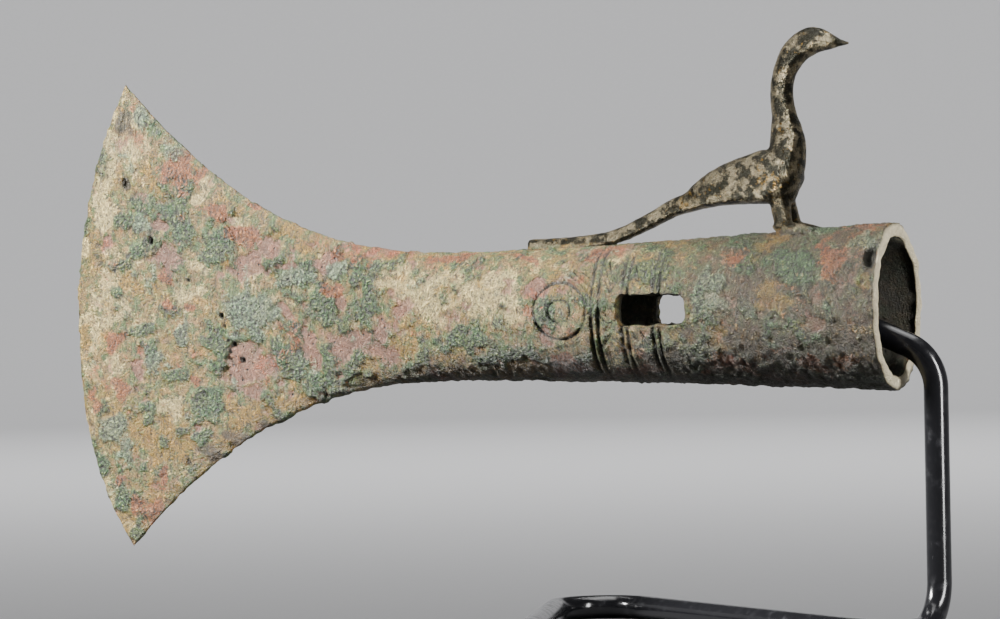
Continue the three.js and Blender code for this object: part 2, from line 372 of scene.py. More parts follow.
def bird_meshes():
    meshes = [oval_tube(TAIL_AND_BODY, 40, 110, 3.0), oval_tube(BREAST_TO_BEAK, 32, 90)]
    for sign in (-1, 1):
        top = (LEG["top_x"], sign * LEG["spread"] * LEG["gather"], LEG["top_z"])
        base = (LEG["foot_x"], sign * LEG["spread"], LEG["foot_z"])
        meshes.append(round_bar(top, base, LEG["thick"], LEG["thin"]))
        centre = (FOOT["x"], sign * LEG["spread"], FOOT["z"])
        meshes.append(pebble(centre, (FOOT["length"], FOOT["width"], FOOT["height"]), FOOT["droop"]))
    return meshes


# ---- Mesh tools ----


def link(name, mesh):
    piece = bpy.data.objects.new(name, mesh)
    bpy.context.collection.objects.link(piece)
    return piece


def discard(piece):
    mesh = piece.data
    bpy.data.objects.remove(piece)
    bpy.data.meshes.remove(mesh)


def settle(piece):
    """Turns the piece's modifiers into its own mesh."""
    graph = bpy.context.evaluated_depsgraph_get()
    made = bpy.data.meshes.new_from_object(piece.evaluated_get(graph))
    old = piece.data
    piece.modifiers.clear()
    piece.data = made
    bpy.data.meshes.remove(old)


def join(name, meshes):
    points, faces, start = [], [], 0
    for mesh in meshes:
        points += [tuple(v.co) for v in mesh.vertices]
        faces += [tuple(start + i for i in face.vertices) for face in mesh.polygons]
        start += len(mesh.vertices)
        bpy.data.meshes.remove(mesh)
    joined = bpy.data.meshes.new(name)
    joined.from_pydata(points, [], faces)
    joined.update()
    return link(name, joined)


def fuse(piece, grain, rounds):
    """Melts overlapping shells into one skin of small even faces, and softens it."""
    remesh = piece.modifiers.new("fuse", "REMESH")
    remesh.mode = "VOXEL"
    remesh.voxel_size = grain
    soften = piece.modifiers.new("soften", "SMOOTH")
    soften.factor = 0.5
    soften.iterations = rounds
    settle(piece)


def combine(piece, other, operation):
    """Adds the other solid to the piece, or cuts it away, and discards the other."""
    before = len(piece.data.vertices)
    cut = piece.modifiers.new("combine", "BOOLEAN")
    cut.operation = operation
    cut.object = other
    cut.solver = "MANIFOLD"
    settle(piece)
    discard(other)
    if len(piece.data.vertices) in (0, before):
        raise RuntimeError(f"The solids did not combine: {operation}")


def vectors(source, key):
    flat = np.empty(len(source) * 3, dtype=np.float32)
    source.foreach_get(key, flat)
    return flat.reshape(-1, 3).astype(float)


def store(mesh, name, values):
    attribute = mesh.attributes.new(name, "FLOAT", "POINT")
    attribute.data.foreach_set("value", np.ascontiguousarray(values, dtype=np.float32))


def dress(mesh, material):
    mesh.materials.clear()
    mesh.materials.append(material)
    mesh.polygons.foreach_set("use_smooth", [True] * len(mesh.polygons))
    mesh.update()


def finish_piece(piece, material, node):
    piece.data.transform(TO_ROW)
    dress(piece.data, material)
    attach(piece, "root")
    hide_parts(node)


# ---- Relief of the casting ----

# Patches of patina on the near side: x, z, half width and half height, in millimetres.
PATINA = {
    "teal": [
        (-100, 29, 4, 4), (-92, 26, 5, 4), (-88, 20.5, 3, 4.5), (-107, 24.5, 3, 2.3), (-78, 18, 5, 6),
        (-108, 5.6, 2.6, 2.6), (-101, -3.3, 4.5, 2.8), (-99.5, -24, 2.8, 2.4), (-91, -15.6, 4, 2),
        (-82, -23.5, 4.5, 4), (-108, -47.5, 3, 4), (-47, 2.5, 4.5, 4.5), (-56.5, -2.5, 4, 3),
        (-58, -11, 4.5, 5), (-44, -13, 6, 4.5), (-49, -18, 5, 3), (-79, -8, 4, 6), (-84, -31, 3, 2.5),
        (18, -2, 3.5, 5), (83.5, 9, 5.5, 5), (58, -12, 5, 3), (-62, 12, 4, 3), (-35, 2, 3, 5),
        (45, 8, 6, 2.5), (-5, -8, 9, 2.2), (-88, 32, 3, 2.5), (-52, 12, 4, 2.5), (8, -12.5, 9, 2),
    ],
    "mauve": [
        (-92.3, 15, 4.6, 4), (-64.5, 17, 4.5, 2.2), (-69.5, 14.5, 3, 1.8), (-60, 1.4, 2.6, 1.8),
        (-53, -6.5, 3.8, 3.6), (-50.5, -12.5, 2.6, 3), (-70, -12.5, 6, 5.8), (-68, -20.5, 5.5, 2.2),
        (-39, -8, 5.5, 4.4), (-30.5, -10, 5.5, 3.4), (-29.5, -4, 3.6, 3), (-85.3, -28, 2, 2),
        (-69, 11, 4.5, 1.8), (-57.5, 11.2, 5, 1.6), (-42.5, 3, 2.4, 3.4), (-46, 13, 4, 2.4), (-24, 0, 3, 3),
        (-110, 19, 2, 2), (-95, 24, 2.4, 1.6), (88, -5, 3, 2), (16, 5, 3, 2.4), (-103, -14, 2, 3),
    ],
    "ochre": [
        (-92.5, -32.7, 7, 5.5), (-101.5, -30, 4.4, 3), (-69, -26.3, 8, 2.2), (-51, 18, 4, 2),
        (-59, 20.5, 4, 1.8), (-54.5, -21.4, 3.6, 2.4), (-63, -24, 4, 2), (-75.5, 12.6, 2.2, 2),
        (-34.5, -13, 2.8, 2.8), (-39.5, 15.6, 4.5, 1.6), (-27, 13.5, 6, 2.2), (77, 15.7, 4, 1.6),
        (46, 15.8, 5, 1.3), (101.3, 5.2, 2, 2.2), (-104, 8, 3, 3), (-98, 33, 3, 4), (-114, 18.4, 1.3, 1.1),
        (-113, 13.7, 1.1, 1.4), (12, -15, 10, 1.4), (78, 1, 4, 3), (-76, -33.5, 4, 1.5), (-18, -12, 5, 2),
    ],
    "orange": [
        (-92.4, 3, 1.5, 1.3), (-86.4, -17.7, 1.7, 1.7), (-45.5, 6.5, 3, 1.8), (-86.6, 0.8, 1.4, 1.1),
        (-95, -40.7, 2, 1.2), (-108, -42.5, 2.4, 1.1), (-103.5, -48.7, 1.6, 2.6), (-115.3, -20, 1.2, 4.5),
        (-89, 37, 6, 5), (-109, -6, 3, 3.2), (-70.5, 19.5, 4.6, 2.4), (-93.7, 9.8, 2.6, 1.6),
        (-108, -18.8, 2.2, 2.6), (93.5, 10, 3.6, 4.4), (98.3, 17.2, 3.2, 1.3), (32, 12.8, 4.5, 2.2),
        (96.5, -13.8, 3.4, 2.2), (22, -14.5, 6, 1.6), (66, -14.7, 6, 2), (-32, 15, 5, 1.4),
        (10, 12, 4, 1.5), (-10, 13, 6, 1.4), (-68, 29, 3, 2), (-78, 25, 3, 2), (88, -14, 4, 2),
        (40, -16, 6, 1.4),
    ],
    "slate": [
        (-58, 7.5, 3.1, 2.5), (-89, -4.6, 1.5, 3), (-69, 0.5, 7.6, 4.8), (-53, 8.7, 3, 2.4),
        (-43, 11, 3, 2.6), (-100.3, 23.8, 3.4, 2.2), (-110, -29.5, 3.8, 4.2), (71, -0.7, 2, 2.8),
        (100, 14.4, 5, 1.7), (-100, 51.5, 3, 3), (-97, -12, 3, 2.5), (-107, -36, 3, 3), (62, 4, 4, 6),
    ],
    "cream": [
        (-110.5, 41, 2.6, 7), (-100.5, 51, 3, 3), (-112, 28, 2.4, 5), (-109.5, 9.5, 3, 4),
        (-27.5, 11.3, 5, 2.2), (-21.5, 4.3, 4.5, 4.5), (-12.3, 2.6, 8, 6.5), (-0.5, 3, 8, 5.5),
        (-84.2, 30, 2.4, 1.8), (-88, 5.7, 3.6, 2.2), (-109.7, -12.3, 2.7, 2.5), (-106.8, -54.5, 2.6, 2.8),
        (-26.3, 7.1, 4.5, 1.4), (8, 1, 5, 5), (-69, 10.8, 4, 1.4), (-103, 43, 4, 5), (-84, 12, 2, 2),
        (-71, 24, 3, 1.6), (-93, -24, 3, 3),
    ],
    "umber": [
        (-81, -35.2, 5, 1.6), (-73.5, -32.6, 5, 1.4), (102.9, 10.6, 2.4, 2.3), (103.4, -5, 1.6, 8),
        (-105.6, 50, 1.6, 5), (-64, -30, 6, 1.2), (96, -8, 4, 3), (72, -8.5, 5, 3), (86, 3, 4, 3),
        (50, -13, 6, 2),
    ],
}
TONES = tuple(PATINA)
# How strong a patch is in its middle, how fast it fades, and how far its outline wanders.
PATCH = {"middle": 1.2, "fall": 0.7, "bend": 2.6, "ragged": 0.42}
PALE_EDGE = {"reach": 5.0, "gain": 0.3}

# Pits on the near side: x, z, half width, half height and depth.
PITS = (
    (-105, 34.3, 1.5, 2.0, 1.0), (-97.7, 19.6, 0.8, 1.2, 0.9), (-108.9, 12.1, 0.6, 1.1, 0.8),
    (-86.8, 9.1, 0.8, 0.7, 0.7), (-77.3, -0.4, 0.6, 1.1, 1.0), (-76.4, -2.7, 0.5, 0.8, 0.9),
    (-71.5, -11.7, 0.8, 0.8, 1.1), (-75.6, -6.6, 0.7, 0.7, 1.0), (-73.9, -7.6, 0.7, 0.8, 1.0),
    (-74.8, -9.2, 0.5, 0.6, 0.8), (-14.1, 3.7, 0.9, 0.5, 0.4), (-1.3, -12.2, 0.6, 0.4, 0.4),
    (-113.8, 18.4, 1.5, 1.3, 0.45), (-113.0, 13.7, 1.3, 1.6, 0.45), (-92.5, 29.8, 1.4, 2.0, 0.35),
    (-112.2, 35.8, 0.8, 3.2, 0.35), (-105.5, 55.3, 1.2, 0.9, 0.4), (-85, 36.5, 0.9, 1.3, 0.4),
    (102.9, 10.8, 1.7, 2.6, 1.5), (-88.2, -37.8, 0.8, 1.4, 0.4), (-103.5, -19.2, 1.3, 1.2, 0.4),
    (-96, -36, 0.9, 1.5, 0.35), (-82.5, -20.5, 1.0, 1.0, 0.4), (-67.5, 8.2, 0.5, 0.5, 0.7),
    (-61.5, -4.0, 0.5, 0.5, 0.7), (-54.5, -8.8, 0.5, 0.5, 0.7), (-50.2, -6.4, 0.5, 0.5, 0.7),
)

# Cracks in the crust of the near side, as lines of (x, z), with a width and a depth.
CRACKS = (
    (((-79, 9), (-80.5, 3), (-78.5, -4), (-75, -11), (-71.5, -17)), 0.5, 0.35),
    (((-49.5, 4.6), (-46.8, 9.5), (-42.4, 15.2)), 0.45, 0.45),
    (((-56.1, -14.8), (-54.8, -17.3), (-52.6, -18.2)), 0.5, 0.5),
    (((-63.5, -11), (-61.5, -14.5), (-62.5, -18)), 0.4, 0.4),
    (((-38, 9), (-35.5, 3.5), (-33, -1)), 0.4, 0.3),
    (((-72, 12), (-66, 9), (-60.5, 11.5)), 0.4, 0.3),
)

# The cast ornament round the peg hole, on both sides of the socket.
RING_GROOVES = (30.4, 32.3, 38.6, 40.1, 46.9, 48.4)
RING_WIDTH = 0.5
# Each circle's x, z and radius, and its groove's width and depth beside the rings' depth of 1.
CIRCLES = (
    (21.8, -0.7, 7.1, 0.42, 1.1), (21.8, -0.7, 3.0, 0.36, 0.924), (35.2, -1.3, 2.5, 0.3, 0.792),
    (35.2, -1.3, 1.1, 0.28, 0.748), (69.5, 0, 8.6, 0.5, 0.352), (69.5, 0, 5.2, 0.5, 0.264),
)
BOSS = {"x": 21.8, "z": -0.7, "radius": 1.1, "height": 0.5}
STROKE_WIDTH = 0.34
STROKE_DEPTH = 0.75
STROKES = (
    ((23.3, 8.3), (26.4, 6.6), (29.3, 3.6)), ((24.8, 8.8), (29.6, 5.4)), ((27.0, 8.9), (29.6, 7.3)),
    ((32.9, 10.4), (35.4, 5.4), (38.1, 10.8)), ((32.9, 8.4), (35.4, 3.6), (38.1, 8.8)),
    ((33.9, 11.2), (35.4, 7.6), (37.3, 11.4)), ((32.9, -6.6), (35.3, -4.8), (38.0, -6.6)),
    ((32.9, -9.4), (35.3, -7.0), (38.0, -9.4)), ((41.6, 9.6), (43.6, 5.6)), ((43.8, 10.2), (45.6, 6.4)),
    ((41.4, -6.4), (43.8, -9.8)), ((43.6, -6.2), (46.0, -9.6)),
)


# How far one seed of noise lies from the next.
CLOUD_SHIFT = np.array([17.3, 5.9, 11.1])
GRAIN_SHIFT = np.array([7.7, 13.1, 3.9])


def cloud(points, size, octaves, seed):
    """Smooth noise of about -1 to 1. Its largest lumps are the size, in millimetres."""
    shifted = points / np.array(size) + seed * CLOUD_SHIFT
    return np.array([noise.fractal(Vector(p), 1.0, 2.0, octaves) for p in shifted.tolist()])


def grains(points, size, seed):
    """Distance to the nearest of scattered seeds, in grain sizes."""
    shifted = points / size + seed * GRAIN_SHIFT
    return np.array([noise.voronoi(Vector(p))[0][0] for p in shifted.tolist()])


# Between these places along X, what stands proud of the socket is the bird.
BIRD_SPAN = (5, 97)


class Casting:
    """The vertices of the casting, with where each one lies and the relief raised on them."""

    def __init__(self, mesh):
        self.mesh = mesh
        self.points = vectors(mesh.vertices, "co")
        self.x, self.y, self.z = self.points.T
        self.normals = vectors(mesh.vertex_normals, "vector")
        upper = outline_height(UPPER, self.x)
        lower = outline_height(LOWER, self.x)
        middle = (upper + lower) / 2
        half = (upper - lower) / 2
        depth = outer_depth(self.x)
        radius = np.hypot(self.y / depth, (self.z - middle) / half)
        outward = (radius - 1) * np.minimum(depth, half)
        hollow = (self.x > HOLLOW_END_X - 6) * (self.x < MOUTH_X - 0.9)
        self.inner = smooth_step(-outward, WALL * 0.45, WALL * 0.8) * hollow
        span = (self.x > BIRD_SPAN[0]) * (self.x < BIRD_SPAN[1])
        self.bird = smooth_step(self.z - upper, 0.1, 0.8) * span * (outward > 0.15)
        self.near = smooth_step(-self.y, -0.3, 0.3)
        self.axe = (1 - self.inner) * (1 - self.bird)
        facing = smooth_step(self.normals[:, 0], 0.45, 0.8)
        self.rim = facing * (self.x > MOUTH_X - 3) * (1 - self.inner)
        height = self.z / np.where(self.z > 0, UPPER["tip"], -LOWER["tip"])
        fullness = np.where(self.z > 0, UPPER["fullness"], LOWER["fullness"])
        edge = EDGE_X + (TIP_X - EDGE_X) * np.minimum(np.abs(height), 1) ** fullness
        self.from_edge = self.x - edge
        self.lift = np.zeros(len(self.points))

    def oval(self, x, z, radius_x, radius_z):
        """How far out of an oval each vertex lies: 0 in its middle and 1 on its outline."""
        return np.hypot((self.x - x) / radius_x, (self.z - z) / radius_z)

    def from_line(self, line):
        """Distance to a line of straight pieces across the side of the axe."""
        nearest = np.full(len(self.x), 1e9)
        for (ax, az), (bx, bz) in zip(line, line[1:]):
            length = math.hypot(bx - ax, bz - az)
            ux, uz = (bx - ax) / length, (bz - az) / length
            along = np.clip((self.x - ax) * ux + (self.z - az) * uz, 0, length)
            away = np.hypot(self.x - ax - along * ux, self.z - az - along * uz)
            nearest = np.minimum(nearest, away)
        return nearest


def groove(distance, width, depth):
    """A rounded groove with low banks, for a distance from its middle."""
    bank = 0.3 * depth * np.exp(-((distance - 1.9 * width) / (0.8 * width)) ** 2)
    return bank - depth * np.exp(-(distance / width) ** 2)


def paint_tones(c):
    """How far each tone of patina covers each vertex: about 0.5 along a patch's edge."""
    flat = 1 - smooth_step(c.x, -80, -68)
    brown = smooth_step(c.x, 28, 75)
    scatter = {
        "teal": -0.05 + 0.1 * brown,
        "mauve": -0.16 - 0.1 * flat,
        "ochre": -0.1,
        "orange": -0.26 + 0.08 * brown,
        "slate": -0.26,
        "cream": -0.2 + 0.04 * flat - 0.3 * brown,
        "umber": -0.42 + 0.4 * brown,
    }
    tones = {}
    bend_x = PATCH["bend"] * cloud(c.points, 7.0, 4, 11)
    bend_z = PATCH["bend"] * cloud(c.points, 7.0, 4, 12)
    for seed, (tone, patches) in enumerate(PATINA.items()):
        near = np.zeros(len(c.x))
        for x, z, radius_x, radius_z in patches:
            out = np.hypot((c.x + bend_x - x) / radius_x, (c.z + bend_z - z) / radius_z)
            near = np.maximum(near, PATCH["middle"] - PATCH["fall"] * out)
        ragged = cloud(c.points, 3.4, 5, seed + 20)
        spread = cloud(c.points, 11.0, 3, seed + 40)
        loose = 0.3 + scatter[tone] + 0.5 * spread
        tones[tone] = np.maximum(near * c.near, loose) + PATCH["ragged"] * ragged
    bevel = np.exp(-np.maximum(c.from_edge, 0) / PALE_EDGE["reach"])
    tones["cream"] += PALE_EDGE["gain"] * bevel
    return tones


def ornament(c):
    """Grooved rings round the socket, circles and strokes. Negative where the metal is cut."""
    wave = 0.22 * cloud(c.points, 6.0, 2, 61)
    depth = 1 - 0.55 * smooth_step(np.abs(c.z), 8, 17)
    cut = np.zeros(len(c.x))
    for x in RING_GROOVES:
        cut += groove(c.x - x + wave, RING_WIDTH, depth)
    pattern = np.zeros(len(c.x))
    for x, z, radius, width, deep in CIRCLES:
        around = np.abs(np.hypot(c.x - x + wave, c.z - z + wave) - radius)
        pattern += groove(around, width, deep)
    for line in STROKES:
        pattern += groove(c.from_line(line) + 0.3 * wave, STROKE_WIDTH, STROKE_DEPTH)
    centre = np.hypot(c.x - BOSS["x"], c.z - BOSS["z"])
    pattern += BOSS["height"] * np.exp(-(centre / BOSS["radius"]) ** 2)
    worn = 0.75 + 0.5 * cloud(c.points, 5.0, 3, 62)
    side = smooth_step(np.abs(c.y), 5, 8)
    return (cut + pattern * side) * np.clip(worn, 0.35, 1.1) * c.axe


# Thicker places inside the mouth: angle round it from the near side, spread of that angle, how
# deep they start and end, and their height. The second lies on both sides of the far wall.
RIM_LUMPS = ((-118, 17, 7, 2.5, 3.0), (172, 5, 3, 1, 0.9), (92, 24, 9, 1, 0.8))
RIM_MOST = 3.2
MOUTH_MIDDLE_Z = -1
NEAR_WALL_THINNING = 0.9
EDGE_NIBBLE = 0.35
EDGE_BITE = 0.9


def wear_edges(c):
    """Moves for the nibbled cutting edge, the thin flanks and the uneven rim of the mouth."""
    nibble = cloud(c.points, (40, 40, 3.2), 3, 71)
    bite = np.maximum(cloud(c.points, (40, 40, 1.9), 2, 72) - 0.25, 0)
    at_edge = np.exp(-np.maximum(c.from_edge, 0) / 1.2)
    forward = at_edge * (EDGE_NIBBLE * nibble - EDGE_BITE * bite)
    at_rim = smooth_step(c.x, MOUTH_X - 2.2, MOUTH_X - 0.3)
    forward += at_rim * (0.5 * cloud(c.points, (30, 5, 5), 3, 73) - 0.25)
    above = c.z - MOUTH_MIDDLE_Z
    turn = np.degrees(np.arctan2(above, -c.y))
    toward = np.stack([np.zeros(len(c.x)), -c.y, -above], axis=1)
    toward /= np.linalg.norm(toward, axis=1)[:, None] + 1e-6
    lining = c.inner + c.rim * 0.6
    thickening = 0
    for angle, spread, deepest, shallowest, height in RIM_LUMPS:
        away = turn - angle
        if abs(angle) > 150:
            away = np.abs(turn) - abs(angle)
        along = smooth_step(c.x, MOUTH_X - deepest, MOUTH_X - shallowest)
        thickening = thickening + height * np.exp(-(away / spread) ** 2) * along
    inward = lining * np.clip(thickening, 0, RIM_MOST)
    facing = smooth_step(-c.normals[:, 1], 0.2, 0.9)
    thin = -NEAR_WALL_THINNING * facing * c.inner * smooth_step(c.x, 70, MOUTH_X)
    return forward, toward * (inward + thin)[:, None]


GRAIN_SIZE = 1.9
# Heights of the crust's layers, in millimetres. The second of a pair is added on the blade's crust.
LUMPS = 0.2
ROUGH = (0.22, 0.12)
STEP = (0.14, 0.28)
STEP_ON_NECK = 0.06
GRAINS = (0.2, 0.4)
STREAKS_ON_NECK = 0.26
BIRD_ROUGH = 0.1
BIRD_STREAKS = 0.05
HOLLOW_ROUGH = 0.25
# The crust is worked out below at this height, and then scaled to the height asked for.
DRAWN_CRUST = 0.6
# Share of the crust that is left out round the ornament, so that its lines show.
ENGRAVED_CALM = 0.55
PIT_BANK = 0.12
COVERED = (0.42, 0.58)


def relief(c, settings):
    """Raises the corrosion crust, sinks the pits, cracks and ornament, and wears the edges."""
    tones = paint_tones(c)
    lumps = cloud(c.points, 9.0, 4, 1)
    rough = cloud(c.points, 2.6, 4, 2)
    streaks = cloud(c.points, (1.1, 1.4, 2.4), 3, 3)
    grain = np.clip(0.62 - grains(c.points, GRAIN_SIZE, 4), -0.3, 0.6)
    crusted = smooth_step(c.x + 3 * lumps, -82, -73) * (1 - smooth_step(c.x, -36, -14))
    neck = smooth_step(c.x, -34, -12)
    solid = c.axe * (1 - 0.8 * c.rim)
    covered = {tone: smooth_step(tones[tone], *COVERED) for tone in TONES}
    crust = np.clip(covered["teal"] + 0.8 * covered["slate"] - covered["mauve"], 0, 1)
    smooth = covered["mauve"] * (1 - 0.5 * neck)
    rough_height = (ROUGH[0] + ROUGH[1] * crusted) * (1 - 0.6 * smooth)
    c.lift += solid * (LUMPS * lumps + rough_height * rough)
    c.lift += solid * crust * (STEP[0] + STEP[1] * crusted + STEP_ON_NECK * neck)
    c.lift += solid * (GRAINS[0] + GRAINS[1] * crusted * crust) * grain * (1 - 0.75 * smooth)
    c.lift += solid * neck * STREAKS_ON_NECK * streaks
    c.lift *= settings.crust_height / MM / DRAWN_CRUST
    marks = np.zeros(len(c.x))
    for x, z, radius_x, radius_z, depth in PITS:
        distance = c.oval(x, z, radius_x, radius_z) + 0.25 * rough
        marks -= depth * (1 - smooth_step(distance, 0.55, 1.15))
        marks += PIT_BANK * np.exp(-((distance - 1.45) / 0.3) ** 2)
    for line, width, depth in CRACKS:
        marks += groove(c.from_line(line) + 0.35 * rough, width, depth)
    marks *= c.near * c.axe
    carved = ornament(c) * settings.ornament_depth / MM
    engraved = smooth_step(c.x, 14, 18) * (1 - smooth_step(c.x, 50, 58)) * c.near
    c.lift = c.lift * (1 - ENGRAVED_CALM * engraved) + marks + carved
    c.lift += c.bird * (BIRD_ROUGH * rough + BIRD_STREAKS * streaks)
    c.lift += c.inner * HOLLOW_ROUGH * rough
    forward, inward = wear_edges(c)
    pores = np.clip(covered["mauve"] + covered["slate"] - covered["teal"], 0, 1) * crusted
    # Painted shade: faces turned downward on the neck and socket, darkened in the shader.
    underside_shade = smooth_step(-c.normals[:, 2], 0.1, 0.85) * smooth_step(c.x, -70, -20)
    masks = {
        # lift also sets the painted shade in pits, cracks and ornament lines.
        "lift": marks + 1.2 * carved + 0.35 * c.lift,
        "crust": crust * solid,
        "pores": pores * solid,
        "brown": smooth_step(c.x + 9 * lumps, 18, 72) * c.axe,
        "underside_shade": underside_shade * solid,
        "rim": c.rim,
        "inner": c.inner,
        "bird": c.bird,
    }
    for name, values in (tones | masks).items():
        store(c.mesh, name, values)
    moved = c.points + c.normals * c.lift[:, None] + inward
    moved[:, 0] += forward
    return moved


def make_casting_mesh(settings):
    casting = link("axe_casting", skin_mesh("axe_casting", axe_rings()))
    bird = join("bird", bird_meshes())
    fuse(bird, BIRD_GRAIN, BIRD_SOFTENING)
    combine(casting, bird, "UNION")
    combine(casting, link("peg_hole", skin_mesh("peg_hole", hole_rings())), "DIFFERENCE")
    moved = relief(Casting(casting.data), settings)
    casting.data.vertices.foreach_set("co", moved.astype(np.float32).ravel())
    casting.data.update()
    return casting


# ---- The stand ----

BEND_RADIUS = 11.3
GROUND_Z = -81.0
REST_GAP = 0.3
ROD_TIP_X = -5.0
ROD_DIP = {"x": 64.8, "slope": 0.431}
UPRIGHT_X = 113.9
FOOT_CORNERS = ((108, -46), (34, -74), (-17, 80.4), (101, -17.3))
FOOT_BENDS = (14, 18, 12.5)
ROD_SIDES = 32
ROD_STEP = 6
ROD_END_ROUNDING = 0.7


def bent_path(corners, bends, arc_step=math.radians(4)):
    """Points and directions along straights that are joined by round bends."""
    points, directions = [corners[0]], [(corners[1] - corners[0]).normalized()]
    for before, corner, after, radius in zip(corners, corners[1:], corners[2:], bends):
        into = (corner - before).normalized()
        away = (after - corner).normalized()
        turn = into.angle(away)
        start = corner - into * radius * math.tan(turn / 2)
        inward = (away - into * into.dot(away)).normalized()
        steps = max(2, round(turn / arc_step))
        for k in range(steps + 1):
            angle = turn * k / steps
            onward = into * radius * math.sin(angle)
            points.append(start + onward + inward * radius * (1 - math.cos(angle)))
            directions.append(into * math.cos(angle) + inward * math.sin(angle))
    points.append(corners[-1])
    directions.append((corners[-1] - corners[-2]).normalized())
    return points, directions


def rod_corners(radius):
    rest_z = float(outline_height(UPPER, ROD_TIP_X)) - WALL - REST_GAP - radius
    foot_z = GROUND_Z + radius
    drop_z = rest_z - ROD_DIP["slope"] * (UPRIGHT_X - ROD_DIP["x"])
    corners = [
        Vector((ROD_TIP_X, 0, rest_z)),
        Vector((ROD_DIP["x"], 0, rest_z)),
        Vector((UPRIGHT_X, 0, drop_z)),
        Vector((UPRIGHT_X, 0, foot_z)),
    ]
    return corners + [Vector((x, y, foot_z)) for x, y in FOOT_CORNERS]


def make_rod_mesh(settings):
    rod_radius = settings.rod_radius / MM
    bends = (2 * BEND_RADIUS, BEND_RADIUS, BEND_RADIUS) + FOOT_BENDS
    points, directions = bent_path(rod_corners(rod_radius), bends)
    side = directions[0].orthogonal().normalized()
    spine = []
    for i, (point, along) in enumerate(zip(points, directions)):
        side = (side - along * side.dot(along)).normalized()
        spine.append((point, along, side.copy(), rod_radius))
        if i + 1 < len(points):
            following = points[i + 1]
            parts = int((following - point).length / ROD_STEP)
            for k in range(1, parts):
                spine.append((point.lerp(following, k / parts), along, side.copy(), rod_radius))
    rounding = ROD_END_ROUNDING
    ends = []
    for share in (0.0, 0.3, 0.7):
        shrink = rounding * (1 - math.sqrt(1 - (1 - share) ** 2))
        ends.append((share * rounding, rod_radius - shrink))
    first, last = spine[0], spine[-1]
    head = [(first[0] + first[1] * a, first[1], first[2], r) for a, r in ends]
    tail = [(last[0] - last[1] * a, last[1], last[2], r) for a, r in ends][::-1]
    spine[0] = (first[0] + first[1] * rounding, *first[1:])
    spine[-1] = (last[0] - last[1] * rounding, *last[1:])
    rings = []
    for point, along, across, radius in head + spine + tail:
        rings.append(round_ring(point, across, along.cross(across), radius, ROD_SIDES))
    return link("stand_rod", skin_mesh("stand_rod", rings))


# ---- Materials ----


class Value:
    """A number that varies over a surface. Sums and products of it add Math nodes."""

    def __init__(self, shader, socket):
        self.shader, self.socket = shader, socket

    def maths(self, operation, *values):
        made = self.shader.node("ShaderNodeMath", {"operation": operation}, dict(enumerate(values)))
        return Value(self.shader, made.outputs[0])

    def __add__(self, other):
        return self.maths("ADD", self, other)

    def __sub__(self, other):
        return self.maths("SUBTRACT", self, other)

    def __rsub__(self, other):
        return self.maths("SUBTRACT", other, self)

    def __mul__(self, other):
        return self.maths("MULTIPLY", self, other)

    __radd__ = __add__
    __rmul__ = __mul__

    def size(self):
        return self.maths("ABSOLUTE", self)

    def clamp(self):
        return self.maths("MINIMUM", self.maths("MAXIMUM", self, 0.0), 1.0)

    def rise(self, start, end):
        """0 up to start, 1 from end on, and smooth between."""
        made = self.shader.node(
            "ShaderNodeMapRange",
            {"interpolation_type": "SMOOTHSTEP"},
            {"Value": self, "From Min": start, "From Max": end},
        )
        return Value(self.shader, made.outputs[0])


class Shader:
    """A material and its nodes."""

    def __init__(self, name):
        self.material = bpy.data.materials.new(name)
        self.material.use_nodes = True
        self.tree = self.material.node_tree
        self.tree.nodes.clear()

    def node(self, kind, settings, inputs):
        made = self.tree.nodes.new(kind)
        for key, value in settings.items():
            setattr(made, key, value)
        for key, value in inputs.items():
            source = value.socket if isinstance(value, Value) else value
            if isinstance(source, bpy.types.NodeSocket):
                self.tree.links.new(source, made.inputs[key])
            else:
                made.inputs[key].default_value = source
        return made

    def place(self):
        """Position on the object, in millimetres."""
        geometry = self.node("ShaderNodeTexCoord", {}, {})
        scaled = self.node(
            "ShaderNodeVectorMath",
            {"operation": "SCALE"},
            {0: geometry.outputs["Object"], "Scale": 1 / MM},
        )
        return scaled.outputs[0]

    def attribute(self, name):
        made = self.node("ShaderNodeAttribute", {"attribute_name": name}, {})
        return Value(self, made.outputs["Fac"])

    def noise(self, place, size, detail, roughness=0.55):
        made = self.node(
            "ShaderNodeTexNoise",
            {},
            {"Vector": place, "Scale": 1 / size, "Detail": detail, "Roughness": roughness},
        )
        return Value(self, made.outputs["Fac"])

    def cells(self, place, size):
        """Distance from the middle of scattered cells, 0 to about 1."""
        made = self.node(
            "ShaderNodeTexVoronoi", {"feature": "F1"}, {"Vector": place, "Scale": 1 / size}
        )
        return Value(self, made.outputs["Distance"])

    def stretched(self, place, factors):
        made = self.node(
            "ShaderNodeVectorMath", {"operation": "MULTIPLY"}, {0: place, 1: factors}
        )
        return made.outputs[0]

    def mix(self, share, first, second, blend="MIX"):
        """A blend of two colours."""
        made = self.node(
            "ShaderNodeMix",
            {"data_type": "RGBA", "blend_type": blend},
            {"Factor": share, 6: first, 7: second},
        )
        return made.outputs[2]

    def surface(self, bump, strength, distance, **inputs):
        """The finished surface, with a bump in millimetres."""
        bumped = self.node(
            "ShaderNodeBump", {}, {"Height": bump, "Strength": strength, "Distance": distance * MM}
        )
        named = {key.replace("_", " "): value for key, value in inputs.items()}
        named["Normal"] = bumped.outputs[0]
        body = self.node("ShaderNodeBsdfPrincipled", {}, named)
        self.node("ShaderNodeOutputMaterial", {}, {"Surface": body.outputs[0]})
        return self.material


